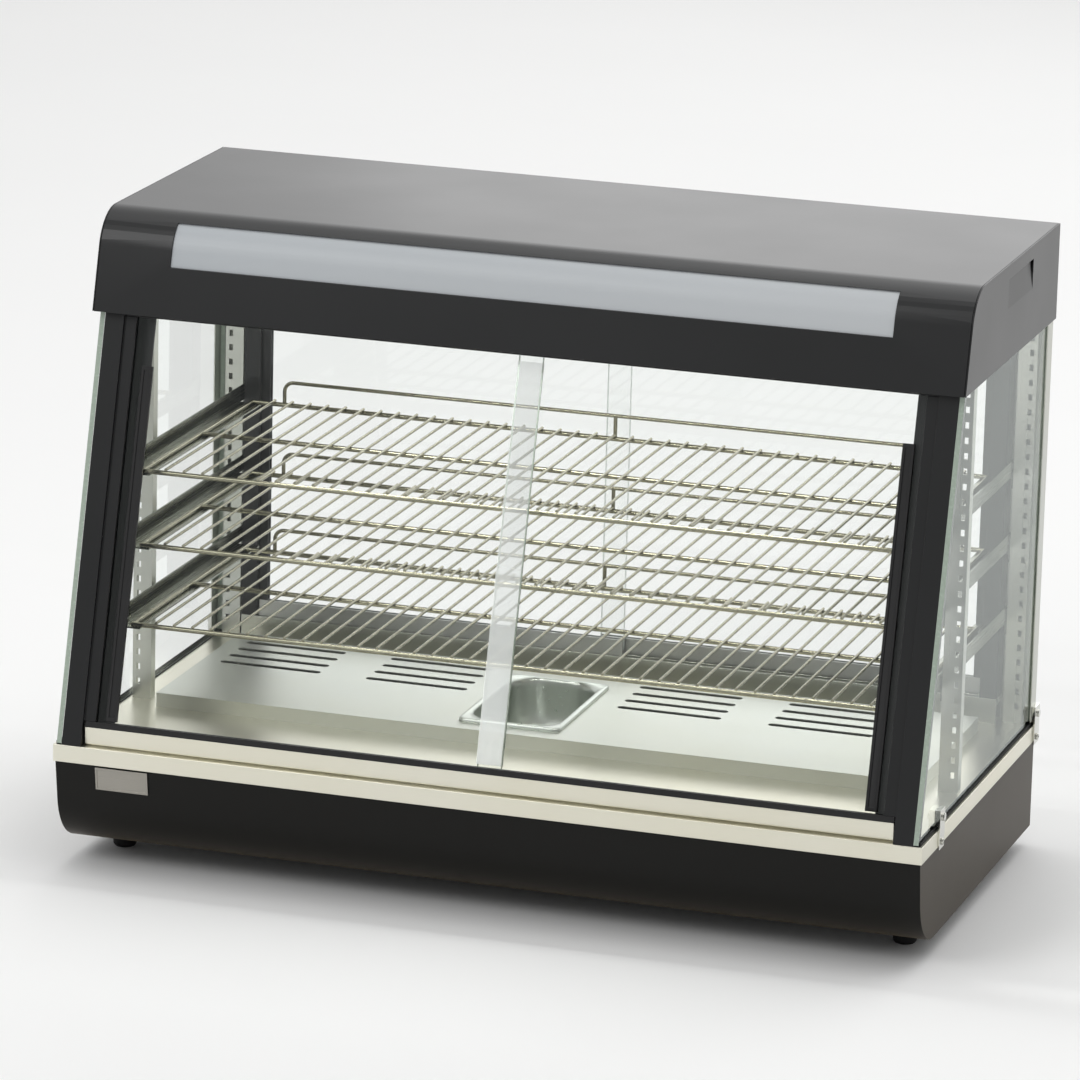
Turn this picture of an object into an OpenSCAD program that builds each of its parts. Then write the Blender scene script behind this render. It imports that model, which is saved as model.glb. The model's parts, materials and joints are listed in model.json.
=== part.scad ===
// Hot food display case: a countertop warming cabinet with a leaning pair of sliding front
// doors, glass sides, a pair of sliding rear doors, three wire shelves and a lift-out water pan.
// +X is the customer's right, +Y points to the rear and +Z up. The origin lies on the counter
// under the middle of the overall footprint, rear controls included.

/* [Overall] */
// Width over the deck rim and the hood
case_w = 900; // [740:10:1200]
// Depth of the base over the deck rim
base_d = 460; // [380:5:600]
// Height from the counter to the top of the hood
case_h = 653.5; // [540:0.5:820]
// How far the rear controls stand out behind the deck rim
control_reach = 20; // [16:1:30]
// Thickness of the folded sheet metal
sheet = 1.5; // [0.8:0.1:2.5]

/* [Base] */
// Height of the rubber feet below the housing
foot_h = 20; // [12:1:40]
// Diameter of a rubber foot
foot_dia = 24; // [18:1:36]
// Distance of the feet from the front and rear of the rim
foot_inset_y = 101; // [85:1:130]
// Distance of the feet from the sides of the rim
foot_inset_x = 39; // [34:1:60]
// Radius of the rolled front lower edge
base_roll = 60; // [30:1:70]
// Angle by which the front face flares out towards the rim
base_flare = 8; // [0:1:12]
// Width of the flange around the open bottom
bottom_flange = 15; // [10:1:20]
// Width of the blank name plate
plate_w = 56; // [40:1:80]
// Height of the blank name plate
plate_h = 24; // [16:1:28]
// Distance from the left side of the rim to the name plate
plate_inset = 45; // [20:1:200]

/* [Deck and heat] */
// Height of the deck above the counter
deck_h = 131; // [125:1:170]
// Depth of the stainless rim band
rim_h = 18; // [12:1:26]
// Height of the louvred heater cover above the deck
cover_h = 15; // [12:1:20]
// Distance from the side of the case to the heater cover
cover_inset_x = 48; // [46:1:60]
// Distance from the front of the case to the heater cover
cover_front = 162; // [120:1:190]
// Distance from the rear of the rim to the heater cover
cover_rear = 56; // [45:1:80]
// Length of one louvre slot
slot_l = 110; // [60:1:120]
// Width of one louvre slot
slot_w = 9; // [3:0.5:12]
// Spacing of the slots from front to rear
slot_pitch = 26; // [14:1:30]
// Number of slots in one group
slot_count = 4; // [2:1:5]
// Distance between neighbouring groups
group_gap = 50; // [20:1:60]
// Offset of the pan and the slots from the middle of the case
pan_shift = -31; // [-60:1:60]
// How far the pan sits in front of the middle of the cover
pan_setback = 12; // [0:1:20]
// Width of the water pan over its rim
pan_w = 108; // [90:1:180]
// Length of the water pan over its rim
pan_l = 176; // [120:1:190]
// Depth of the water pan
pan_depth = 60; // [40:1:64]
// Corner radius inside the water pan
pan_corner = 34; // [10:1:40]
// Diameter of the tubular heating elements
element_dia = 8; // [6:0.5:10]
// Spacing of the two legs of a heating element
element_span = 84; // [60:2:100]

/* [Front doors] */
// Angle by which the front leans back from vertical
front_lean = 14.8; // [8:0.1:20]
// Thickness of every glass pane
glass_t = 5; // [4:0.5:6]
// Face width of a front corner post
post_w = 20.5; // [16:0.5:30]
// Depth of a front corner post
post_d = 28; // [26:1:36]
// Distance between the middles of the two door planes
track_pitch = 9; // [9:0.5:12]
// Width of a finger pull
pull_w = 12; // [8:0.5:18]
// Distance between the top of a finger pull and the upper track
pull_top_gap = 48; // [0:1:80]
// Reach of the outer door past the middle of the case
lap_outer = 17.5; // [8:0.5:30]
// Reach of the inner door past the middle of the case
lap_inner = 10; // [8:0.5:30]
// Height of the stainless rail under the front doors
door_rail_h = 19; // [14:1:30]
// Height of a track above its rail
track_h = 6; // [5:0.5:10]

/* [Sides and rear] */
// Distance from the side of the case to the outside of the side glass
glass_inset = 4; // [4:0.5:8]
// Width of a glass clip
clip_w = 18; // [12:1:26]
// Height of the rail under the rear doors
rear_rail_h = 26; // [16:1:40]
// Height of the lower profile of a rear door
rear_profile_h = 17; // [10:1:30]
// Width of a black rear jamb
jamb_w = 18; // [14:1:24]

/* [Shelves] */
// Gap between the side of a wire shelf and the slotted standards
shelf_side_gap = 17; // [15:1:20]
// Height of the bottom shelf above the deck
shelf_base = 109; // [90:1:140]
// Spacing of the shelves
shelf_pitch = 77; // [60:1:90]
// How far the bottom shelf sits forward of the others
shelf_step = 23; // [0:1:30]
// Distance between the leaning front plane and the upper shelves
shelf_front_gap = 33; // [30:1:60]
// Distance between the rear of the rim and the upper shelves
shelf_rear_gap = 37; // [36:1:60]
// Diameter of the frame wires
frame_wire = 5; // [4:0.5:6]
// Diameter of the cross wires
cross_wire = 3; // [2:0.5:4]
// Spacing of the cross wires
wire_pitch = 19.6; // [14:0.1:30]
// Height of the guard rail above the shelf frame
guard_h = 21; // [12:1:26]
// Height of the web of a shelf rail
rail_web = 17; // [12:1:22]
// Width of the flange of a shelf rail
rail_flange = 27; // [20:1:30]
// Width of a slotted shelf standard
standard_w = 20; // [16:1:24]
// Depth of a slotted shelf standard
standard_d = 12; // [8:1:14]
// Spacing of the slots in a standard
standard_pitch = 15.5; // [12:0.5:25]
// Distance from the front of the rim to the front standards
standard_inset = 185; // [150:1:220]

/* [Hood] */
// Height of the hood from its lower edge to its top
hood_h = 98.5; // [90:0.5:120]
// Radius of the front shoulder of the hood
hood_roll = 45; // [25:1:50]
// How far the fascia stands in front of the posts
fascia_proud = 14; // [12:1:20]
// How far the hood reaches behind the deck rim
hood_rear = 4; // [0:1:10]
// Distance from the side of the case to the light panel
light_inset = 78; // [40:1:200]
// Height of the lower edge of the light panel above the hood's lower edge
light_low = 49; // [30:1:55]
// Height of the visible light panel
light_h = 41; // [20:1:44]
// Diameter of the lamp tube
lamp_dia = 16; // [12:1:26]
// Length of the pressed louvre in an end cap
louvre_l = 99; // [60:1:140]
// Height of the pressed louvre
louvre_h = 30; // [15:1:40]
// Depth by which the louvre is pressed in along its upper edge
louvre_depth = 2.6; // [2.2:0.1:6]
// Distance from the front of the rim to the louvre
louvre_inset = 255; // [200:5:320]

/* [Controls] */
// Diameter of the thermostat knob
knob_dia = 36; // [24:1:50]
// Height of the controls above the counter
control_h = 70; // [60:1:80]
// Distance of the thermostat from the middle of the case
knob_x = 250; // [230:5:300]
// Distance of the cable gland from the side of the case
gland_inset = 80; // [60:5:120]
// Tilt of a rocker each way
rocker_tilt = 9; // [6:1:12]

/* [Fits] */
// Clearance between parts that slide past each other
slide_gap = 0.5; // [0.3:0.1:0.8]
// Clearance between parts that are fixed beside each other
fixed_gap = 0.3; // [0.2:0.05:0.5]
// Radial clearance of a turning shaft
spin_gap = 0.05; // [0.02:0.01:0.1]

/* [Hidden] */
$fn = 48;

// Colours
paint_black = "#26282a";
stainless = "#c2c4bf";
glass_tint = [0.78, 0.88, 0.84, 0.35];
trim_black = "#161718";

// Frame of the case
half_w = case_w / 2;
front_y = -(base_d + control_reach) / 2;
rear_y = front_y + base_d;
rim_z = deck_h - rim_h;
base_inset = sheet + fixed_gap;
base_x = half_w - base_inset;
base_rear = rear_y - base_inset;
roll_z = foot_h + base_roll;
roll_top = roll_z - base_roll * sin(base_flare);
roll_y = front_y + base_inset + (rim_z - roll_top) * tan(base_flare) + base_roll * cos(base_flare);

// Deck, heater cover and pan
cover_x = half_w - cover_inset_x;
cover_y0 = front_y + cover_front;
cover_y1 = rear_y - cover_rear;
cover_z = deck_h + cover_h;
pan_lip = 4;
pan_flange = 5;
pan_y = (cover_y0 + cover_y1) / 2 - pan_setback;
pan_wall = 1.2;
well_flange = 9;
well_margin = well_flange + 7;
well_x = cover_x - well_margin - 6;
well_y0 = cover_y0 + well_margin;
well_y1 = cover_y1 - well_margin;
well_z = cover_z + pan_lip - pan_depth - 12;
cover_margin = 15;
slot_margin = 30;
group_start = pan_w / 2 + 27;
group_pitch = slot_l + group_gap;
group_room = cover_x - abs(pan_shift) - group_start - slot_l - cover_margin;
group_count = 1 + floor(group_room / group_pitch);
element_r = element_dia / 2;
element_bend = element_span / 2;
element_y = [pan_y - element_bend, pan_y + element_bend];
element_z = well_z + 34;
element_in = pan_w / 2 + element_bend + 25;
element_out = well_x + sheet + 12;
bracket_t = 2;
bracket_x = [well_x - 40, element_in + 50];

// Leaning front: x across, n inwards from the front of the posts, s up the slope
glass_x = half_w - glass_inset;
post_x1 = glass_x - glass_t;
post_x0 = post_x1 - post_w;
rail_setback = 8;
rail_n = rail_setback * cos(front_lean) - door_rail_h * sin(front_lean);
rail_s = rail_setback * sin(front_lean) + door_rail_h * cos(front_lean);
track_wall = 3.6;
groove_w = glass_t + 2 * slide_gap;
plane_outer = rail_n + track_wall + groove_w / 2;
plane_inner = plane_outer + track_pitch;
track_n1 = plane_inner + groove_w / 2 + track_wall;
track_top = rail_s + track_h;
groove_floor = rail_s + 1.5;
leaf_front = 12.5;
leaf_back = 26;
leaf_t = 2.5;
ceiling_drop = 11;
ceiling_z = case_h - hood_h + ceiling_drop;
upper_groove = 12;
upper_s = (ceiling_z - deck_h) / cos(front_lean) - upper_groove - 4;
pane_s0 = groove_floor + fixed_gap;
pane_s1 = upper_s + 8;
pane_edge = post_x0 - 6.5;
pull_gap = 22.5;
pull_x0 = post_x0 - pull_gap - pull_w;
pull_s0 = track_top + 2;
pull_s1 = upper_s - pull_top_gap;

// Rear doors
rear_jamb_x1 = post_x0 - 8.5;
rear_jamb_x0 = rear_jamb_x1 - jamb_w;
rear_depth = 24;
rear_outer_y = rear_y - 7.5;
rear_inner_y = rear_outer_y - track_pitch;
rear_rail_z = deck_h + rear_rail_h;
rear_track_z = ceiling_z - upper_groove - 6;
rear_pane_edge = rear_jamb_x0 + 9;
rear_profile_t = track_pitch - 1;
rear_groove = 5;
rear_pull_w = 9;
rear_end_gap = 1;

// Shelves and standards
standard_in = post_x1 - 4 - standard_w;
shelf_x = standard_in - shelf_side_gap;
top_shelf_z = deck_h + shelf_base + 2 * shelf_pitch;
shelf_y0 = lean_y(top_shelf_z) + shelf_front_gap;
shelf_y1 = rear_y - shelf_rear_gap;
front_standard_y = front_y + standard_inset;
rear_standard_y = rear_y - 2 - standard_d;
clip_plate = 1.5;
web_x = standard_in - clip_plate;
hook_first = 15;
hook_w = 4;
hook_h = 6.5;
hook_edge = 4;
middle_wire_shift = 8;
weld = 0.6;
guard_r = 2;
guard_bend = 10;
guard_inset = 35;

// Hood
hood_z = case_h - hood_h;
fascia_y = -fascia_proud / cos(front_lean);
hood_corner_y = lean_y(case_h) + fascia_y;
shoulder_y = hood_corner_y + hood_roll * tan((90 - front_lean) / 2);
shoulder_z = case_h - hood_roll;
hood_y1 = rear_y + hood_rear;
cap_x = half_w - sheet;
shell_x = cap_x - 0.2;
light_x = half_w - light_inset;
light_z = hood_z + light_low;
diffuser_t = 3;
diffuser_lap = 8;
lamp_setback = 6;
lamp_rise = 46;
lamp_margin = 20;
lamp_y = shoulder_y + lamp_setback;
lamp_z = hood_z + lamp_rise;
lamp_x = light_x - lamp_margin;
lamp_slot = 14;
louvre_y = front_y + louvre_inset;
louvre_z = case_h - 14.5;

// Rear panel screws
screw_r = 1.9;
screw_head_r = 3.6;
screw_head_h = 2.4;
screw_inset = 30;
base_screw_z = foot_h + 10;
hood_screw_z = case_h - 14;

// Controls on the back panel
panel_y = base_rear;
lamp_row = [knob_x - 45, knob_x - 70];
switch_row = [knob_x - 100, knob_x - 135];
gland_x = gland_inset - half_w;
shaft_r = 3;
rocker_r = 10.2;
rocker_w = 14.4;
pin_r = 1.2;
bezel_t = 2;
rocker_y = panel_y + bezel_t - 3;
lens_r = 4;
gland_r = 8;
switch_w = 9;
switch_h = 13;

// Height line of the leaning front plane
function lean_y(z) = front_y + (z - deck_h) * tan(front_lean);

// Draws a side view (depth, height) and extrudes it from x0 to x1
module along_x(x0, x1) {
    translate([x0, 0, 0]) rotate([90, 0, 90]) linear_extrude(x1 - x0) children();
}

// Box between two corners
module block(low, high) {
    translate(low) cube([high[0] - low[0], high[1] - low[1], high[2] - low[2]]);
}

// Cylinder along Y from y0 to y1
module rod_y(x, y0, y1, z, r) {
    translate([x, y0, z]) rotate([-90, 0, 0]) cylinder(h = y1 - y0, r = r);
}

// Cylinder along X from x0 to x1
module rod_x(x0, x1, y, z, r) {
    translate([x0, y, z]) rotate([0, 90, 0]) cylinder(h = x1 - x0, r = r);
}

// Rectangle with rounded corners, centred
module round_rect(w, l, r) {
    square([w - 2 * r, l], center = true);
    square([w, l - 2 * r], center = true);
    for (sx = [-1, 1], sy = [-1, 1])
        translate([sx * (w / 2 - r), sy * (l / 2 - r)]) circle(r = r);
}

// Mirrors to the left side when side is -1
module on_side(side) {
    mirror([side < 0 ? 1 : 0, 0, 0]) children();
}

// Places children in the leaning front plane
module on_front() {
    translate([0, front_y, deck_h]) rotate([-front_lean, 0, 0]) children();
}

// Repeats children at the screws of a rear panel, at height z
module at_panel_screws(y, z) {
    for (i = [-2 : 2]) translate([i * (half_w - screw_inset) / 2, y, z]) rotate([-90, 0, 0]) children();
}

// ---- Base ----

// Side view of the housing, inset by t; open at the rear and top when inset
module base_section(t, over) {
    top = deck_h - sheet + over;
    reach = base_rear + over;
    tangent = [roll_y - (base_roll - t) * cos(base_flare), roll_z - (base_roll - t) * sin(base_flare)];
    intersection() {
        translate([roll_y, roll_z]) circle(r = base_roll - t, $fn = 96);
        translate([roll_y - base_roll, foot_h]) square(base_roll);
    }
    polygon([
        tangent, [roll_y, foot_h + t], [reach, foot_h + t], [reach, top],
        [front_y + base_inset + t, top], [front_y + base_inset + t, rim_z]]);
}

module base_housing() {
    color(paint_black) difference() {
        along_x(-base_x, base_x) base_section(0, 0);
        along_x(-base_x + sheet, base_x - sheet) base_section(sheet, 10);
        block([-base_x + bottom_flange, roll_y + bottom_flange, foot_h - 1],
              [base_x - bottom_flange, base_rear - bottom_flange, foot_h + sheet + 1]);
    }
}

plate_x = base_x - sheet - fixed_gap;
plate_y0 = roll_y + 1;
plate_y1 = base_rear - sheet - fixed_gap;
plate_z = foot_h + sheet;
foot_x = half_w - foot_inset_x;
foot_ys = [front_y + foot_inset_y, rear_y - foot_inset_y];
foot_bolt_r = 2.5;
foot_recess_r = 5.5;
foot_recess_h = 8;
foot_head_r = 4.8;
foot_head_h = 3.5;
foot_nut_r = 4.2;
foot_nut_h = 4;

module at_feet() {
    for (sx = [-1, 1], y = foot_ys) translate([sx * foot_x, y, 0]) children();
}

module base_bottom_plate() {
    vent_pitch = 30;
    vent_count = floor((plate_x - 4 * vent_pitch) / vent_pitch);
    color(paint_black) difference() {
        block([-plate_x, plate_y0, plate_z], [plate_x, plate_y1, plate_z + sheet]);
        at_feet() translate([0, 0, plate_z - 1]) cylinder(h = sheet + 2, r = foot_bolt_r);
        for (sx = [-1, 1], i = [0 : vent_count - 1])
            translate([sx * (50 + vent_pitch * i), (plate_y0 + plate_y1) / 2, plate_z + sheet / 2])
                cube([6, 90, sheet + 2], center = true);
    }
}

// Controls, gland, two rows of upright vents and screw holes pass through the back panel
module base_back_panel() {
    y0 = base_rear - 10;
    y1 = base_rear + 10;
    vent_w = 6;
    vent_l = 24;
    vent_pitch = 24;
    color(paint_black) difference() {
        block([-plate_x, base_rear - sheet, plate_z], [plate_x, base_rear, deck_h - sheet]);
        rod_y(knob_x, y0, y1, control_h, shaft_r + 2);
        for (x = lamp_row) rod_y(x, y0, y1, control_h, lens_r + 0.2);
        rod_y(gland_x, y0, y1, control_h, gland_r + 0.2);
        for (x = switch_row)
            block([x - switch_w - 0.5, y0, control_h - switch_h - 0.2],
                  [x + switch_w + 0.5, y1, control_h + switch_h + 0.2]);
        for (i = [0 : 11], z = [control_h - vent_l - 1, control_h + 10])
            translate([-half_w + 190 + vent_pitch * i, y0, z]) cube([vent_w, y1 - y0, vent_l]);
        at_panel_screws(base_rear - 5, base_screw_z) cylinder(h = 10, r = screw_r + fixed_gap);
    }
}

module rubber_feet() {
    color(trim_black) at_feet() difference() {
        union() {
            translate([0, 0, 3]) cylinder(h = plate_z - 3, r = foot_dia / 2);
            cylinder(h = 3, r1 = foot_dia / 2 - 2, r2 = foot_dia / 2);
        }
        translate([0, 0, -1]) cylinder(h = foot_recess_h + 1, r = foot_recess_r);
        translate([0, 0, -1]) cylinder(h = plate_z + 2, r = foot_bolt_r + 0.2);
    }
}

module foot_screws() {
    color(stainless) at_feet() {
        translate([0, 0, foot_recess_h - foot_head_h]) cylinder(h = foot_head_h, r = foot_head_r);
        translate([0, 0, foot_recess_h])
            cylinder(h = plate_z + sheet - foot_recess_h + foot_nut_h + 1, r = foot_bolt_r - 0.2);
        translate([0, 0, plate_z + sheet]) cylinder(h = foot_nut_h, r = foot_nut_r, $fn = 6);
    }
}

module name_plate() {
    lift = 1.7;
    translate([-half_w + plate_inset, front_y + base_inset, rim_z - 1.5]) rotate([base_flare, 0, 0])
        color("#c9c9c6") translate([0, -lift, -plate_h]) difference() {
            cube([plate_w, lift - 0.1, plate_h]);
            translate([2.2, -1, 2.2]) cube([plate_w - 4.4, 1.7, plate_h - 4.4]);
        }
}

// ---- Deck, heaters and pan ----

module deck() {
    color(stainless) difference() {
        block([-half_w, front_y, rim_z], [half_w, rear_y, deck_h]);
        block([-half_w + sheet, front_y + sheet, rim_z - 1],
              [half_w - sheet, rear_y - sheet, deck_h - sheet]);
        block([-well_x, well_y0, rim_z], [well_x, well_y1, deck_h + 1]);
    }
}

module heater_well() {
    z1 = deck_h - sheet;
    color(stainless) difference() {
        union() {
            block([-well_x - sheet, well_y0 - sheet, well_z], [well_x + sheet, well_y1 + sheet, z1]);
            block([-well_x - well_flange, well_y0 - well_flange, z1 - sheet],
                  [well_x + well_flange, well_y1 + well_flange, z1]);
        }
        block([-well_x, well_y0, well_z + sheet], [well_x, well_y1, z1 + 1]);
        for (sx = [-1, 1], y = element_y)
            rod_x(sx * well_x - 5, sx * well_x + 5, y, element_z, element_r + fixed_gap);
    }
}

module slot_group(x0) {
    for (i = [0 : slot_count - 1])
        translate([x0 + slot_l / 2, cover_y1 - slot_margin - slot_pitch * i, cover_z - 5])
            linear_extrude(10) round_rect(slot_l, slot_w, slot_w / 2 - 0.01);
}

module heater_cover() {
    color(stainless) difference() {
        block([-cover_x, cover_y0, deck_h], [cover_x, cover_y1, cover_z]);
        block([-cover_x + sheet, cover_y0 + sheet, deck_h - 1],
              [cover_x - sheet, cover_y1 - sheet, cover_z - sheet]);
        translate([pan_shift, pan_y, cover_z - 5]) linear_extrude(10)
            round_rect(pan_w - 2 * pan_flange + 1, pan_l - 2 * pan_flange + 1, pan_corner + 1);
        for (i = [0 : group_count - 1]) {
            slot_group(pan_shift + group_start + group_pitch * i);
            slot_group(pan_shift - group_start - slot_l - group_pitch * i);
        }
    }
}

module heating_elements() {
    color("#8d8a82") for (side = [-1, 1]) {
        shift = side * pan_shift;
        on_side(side) {
            for (y = element_y) rod_x(element_in + shift, element_out, y, element_z, element_r);
            translate([element_in + shift, pan_y, element_z]) rotate([0, 0, 90])
                rotate_extrude(angle = 180) translate([element_bend, 0]) circle(r = element_r);
        }
    }
}

module element_brackets() {
    color(stainless) for (side = [-1, 1], y = element_y, x = bracket_x)
        difference() {
            block([side * x - bracket_t / 2, y - 10, well_z + sheet],
                  [side * x + bracket_t / 2, y + 10, element_z]);
            rod_x(side * x - 5, side * x + 5, y, element_z, element_r + 0.15);
        }
}

module water_pan() {
    body_w = pan_w - 2 * pan_flange;
    body_l = pan_l - 2 * pan_flange;
    rim_z0 = cover_z;
    color(stainless) translate([pan_shift, pan_y, 0]) difference() {
        union() {
            translate([0, 0, rim_z0]) linear_extrude(pan_lip) round_rect(pan_w, pan_l, 8);
            translate([0, 0, rim_z0 + pan_lip - pan_depth]) linear_extrude(pan_depth - 1)
                round_rect(body_w, body_l, pan_corner + pan_wall);
        }
        translate([0, 0, rim_z0 + pan_lip - pan_depth + pan_wall]) linear_extrude(pan_depth)
            round_rect(body_w - 2 * pan_wall, body_l - 2 * pan_wall, pan_corner);
    }
}

// ---- Leaning front ----

// Plan section of the right post: a box with the two door leaves
module front_post(side) {
    color(paint_black) on_side(side) {
        difference() {
            intersection() {
                on_front() block([post_x0, 0, -20], [post_x1, post_d, upper_s + 40]);
                block([post_x0 - 1, front_y - 5, deck_h], [post_x1 + 1, rear_y, ceiling_z]);
            }
            on_front()
                block([post_x0 + sheet, sheet, -30], [post_x1 - sheet, post_d - sheet, upper_s + 50]);
        }
        on_front() {
            block([post_x0 - leaf_front, rail_n + 0.4, track_top],
                  [post_x0, plane_outer - groove_w / 2 + 0.2, upper_s]);
            block([post_x0 - leaf_back, plane_inner + groove_w / 2, track_top],
                  [post_x0, plane_inner + groove_w / 2 + leaf_t, upper_s]);
        }
    }
}

module front_post_left() { front_post(-1); }
module front_post_right() { front_post(1); }

front_rail_x = post_x0 - 1.5;

module front_door_rail() {
    y0 = front_y + rail_setback;
    z1 = deck_h + door_rail_h;
    run = track_n1 - rail_n;
    y1 = y0 + run * cos(front_lean);
    z2 = z1 - run * sin(front_lean);
    color(stainless) along_x(-front_rail_x, front_rail_x) difference() {
        polygon([
            [y0 + 3, deck_h], [y0 + 3, deck_h + 1.6], [y0, deck_h + 1.6], [y0, z1], [y1, z2], [y1, deck_h]]);
        polygon([
            [y0 + 3 + sheet, deck_h - 1], [y0 + 3 + sheet, z1 - 3.6],
            [y1 - sheet, z2 - sheet - 0.6], [y1 - sheet, deck_h - 1]]);
    }
}

module groove(plane, s0, s1) {
    block([-half_w, plane - groove_w / 2, s0], [half_w, plane + groove_w / 2, s1]);
}

module front_lower_track() {
    color(trim_black) on_front() difference() {
        block([-front_rail_x, rail_n, rail_s], [front_rail_x, track_n1, track_top]);
        groove(plane_outer, groove_floor, track_top + 1);
        groove(plane_inner, groove_floor, track_top + 1);
    }
}

module front_upper_track() {
    color(trim_black) difference() {
        intersection() {
            on_front() block([-post_x0, rail_n, upper_s], [post_x0, track_n1, upper_s + 40]);
            block([-half_w, front_y, deck_h], [half_w, rear_y, ceiling_z]);
        }
        on_front() {
            groove(plane_outer, upper_s - 1, upper_s + upper_groove);
            groove(plane_inner, upper_s - 1, upper_s + upper_groove);
        }
    }
}

module front_glass(side, plane, lap) {
    color(glass_tint) on_side(side) on_front()
        block([-lap, plane - glass_t / 2, pane_s0], [pane_edge, plane + glass_t / 2, pane_s1]);
}

module front_pull(side, plane, thick) {
    n1 = plane - glass_t / 2;
    color(trim_black) on_side(side) on_front() difference() {
        block([pull_x0, n1 - thick, pull_s0], [pull_x0 + pull_w, n1, pull_s1]);
        block([pull_x0 + 3, n1 - thick - 1, pull_s0 + 4],
              [pull_x0 + pull_w - 3, n1 - thick + 1, pull_s1 - 4]);
    }
}

module front_glass_left() { front_glass(-1, plane_outer, lap_outer); }
module front_glass_right() { front_glass(1, plane_inner, lap_inner); }
module front_pull_left() { front_pull(-1, plane_outer, 3.2); }
module front_pull_right() { front_pull(1, plane_inner, 2.6); }

// ---- Side glass ----

glass_z0 = deck_h + 1.5;
glass_z1 = ceiling_z - 4;
glass_y1 = rear_y - 5;
gasket_h = 3;
gasket_t = 1.5;
flange_x0 = glass_x + 0.5;

module side_glass(side) {
    color(glass_tint) on_side(side) along_x(post_x1, glass_x) polygon([
        [lean_y(glass_z0), glass_z0], [glass_y1, glass_z0],
        [glass_y1, glass_z1], [lean_y(glass_z1), glass_z1]]);
}

module side_glass_left() { side_glass(-1); }
module side_glass_right() { side_glass(1); }

// The lower gaskets hold the panes on the deck, the upper channels hold them under the ceiling
module side_gaskets() {
    top_y0 = lean_y(ceiling_z) + post_d / cos(front_lean) + 8;
    top_z = glass_z1 - 6;
    color(trim_black) for (side = [-1, 1]) on_side(side) {
        difference() {
            block([post_x1, lean_y(deck_h) + 3, deck_h], [glass_x + gasket_t, glass_y1, deck_h + gasket_h]);
            block([post_x1 - 1, front_y, glass_z0], [glass_x, rear_y, deck_h + gasket_h + 1]);
        }
        difference() {
            block([post_x1 - gasket_t, top_y0, top_z], [glass_x + gasket_t - 1, glass_y1, ceiling_z]);
            block([post_x1, top_y0 - 1, top_z - 1], [glass_x, glass_y1 + 1, glass_z1]);
        }
    }
}

clip_z0 = deck_h - 20;
clip_z1 = deck_h + 20;
clip_front_y = front_y + 60;
clip_rear_y = rear_y - 17;
clip_t = 2;

module glass_clip(y, pad_x, wrap) {
    block([half_w, y, clip_z0], [half_w + clip_t, y + clip_w, clip_z1]);
    block([pad_x, y, deck_h + gasket_h + 1], [half_w, y + clip_w, clip_z1]);
    rod_x(half_w + clip_t, half_w + clip_t + 2.5, y + clip_w / 2, clip_z1 - 8, 4);
    if (wrap)
        block([half_w - 12, rear_y, clip_z0], [half_w + clip_t, rear_y + clip_t, clip_z1]);
}

module glass_clips() {
    color("#d8d8d4") for (side = [-1, 1]) on_side(side) {
        glass_clip(clip_front_y, glass_x, false);
        glass_clip(clip_rear_y, flange_x0 + sheet, true);
    }
}

// ---- Rear ----

module rear_post(side) {
    color(stainless) on_side(side) {
        block([rear_jamb_x1, rear_y - 2, deck_h], [flange_x0 + sheet, rear_y, ceiling_z]);
        block([flange_x0, rear_y - 20, deck_h + gasket_h + 1], [flange_x0 + sheet, rear_y - 2, ceiling_z]);
    }
}

module rear_post_left() { rear_post(-1); }
module rear_post_right() { rear_post(1); }

module rear_jambs() {
    color(trim_black) for (side = [-1, 1]) on_side(side) difference() {
        block([rear_jamb_x0, rear_y - rear_depth, rear_rail_z], [rear_jamb_x1, rear_y, rear_track_z]);
        block([rear_jamb_x0 - 1, rear_inner_y - groove_w / 2, rear_rail_z - 1],
              [rear_jamb_x1 - 5, rear_outer_y + groove_w / 2, rear_track_z + 1]);
    }
}

module rear_grooves(z0, z1) {
    for (y = [rear_inner_y, rear_outer_y])
        block([-half_w, y - groove_w / 2, z0], [half_w, y + groove_w / 2, z1]);
}

module rear_door_rail() {
    color(stainless) difference() {
        block([-rear_jamb_x1, rear_y - rear_depth, deck_h], [rear_jamb_x1, rear_y, rear_rail_z]);
        rear_grooves(rear_rail_z - rear_groove, rear_rail_z + 1);
        block([-half_w, rear_y - rear_depth + 2, deck_h - 1],
              [half_w, rear_y - 2, rear_rail_z - rear_groove - 2]);
    }
}

module rear_upper_track() {
    color(trim_black) difference() {
        block([-rear_jamb_x1, rear_y - rear_depth, rear_track_z], [rear_jamb_x1, rear_y, ceiling_z]);
        rear_grooves(rear_track_z - 1, rear_track_z + upper_groove);
    }
}

rear_glass_z0 = rear_rail_z + 6;

module rear_glass(side, y, lap) {
    color(glass_tint) on_side(side)
        block([-lap, y - glass_t / 2, rear_glass_z0],
              [rear_pane_edge, y + glass_t / 2, rear_track_z + 9]);
}

// Lower profile with its running tongue, and the upright finger pull
module rear_frame(side, y, lap) {
    half_t = rear_profile_t / 2;
    z0 = rear_rail_z + fixed_gap;
    z1 = z0 + rear_profile_h;
    color("#9a9c9c") on_side(side) difference() {
        union() {
            block([-lap, y - half_t, z0], [rear_jamb_x0 - rear_end_gap, y + half_t, z1]);
            block([-lap, y - glass_t / 2, z0 - rear_groove],
                  [rear_jamb_x0 - rear_end_gap, y + glass_t / 2, z0 + 1]);
            block([rear_jamb_x0 - rear_end_gap - rear_pull_w, y - half_t, z1],
                  [rear_jamb_x0 - rear_end_gap, y + half_t, rear_track_z - pull_top_gap]);
        }
        block([-half_w, y - glass_t / 2, rear_glass_z0], [half_w, y + glass_t / 2, case_h]);
    }
}

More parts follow.
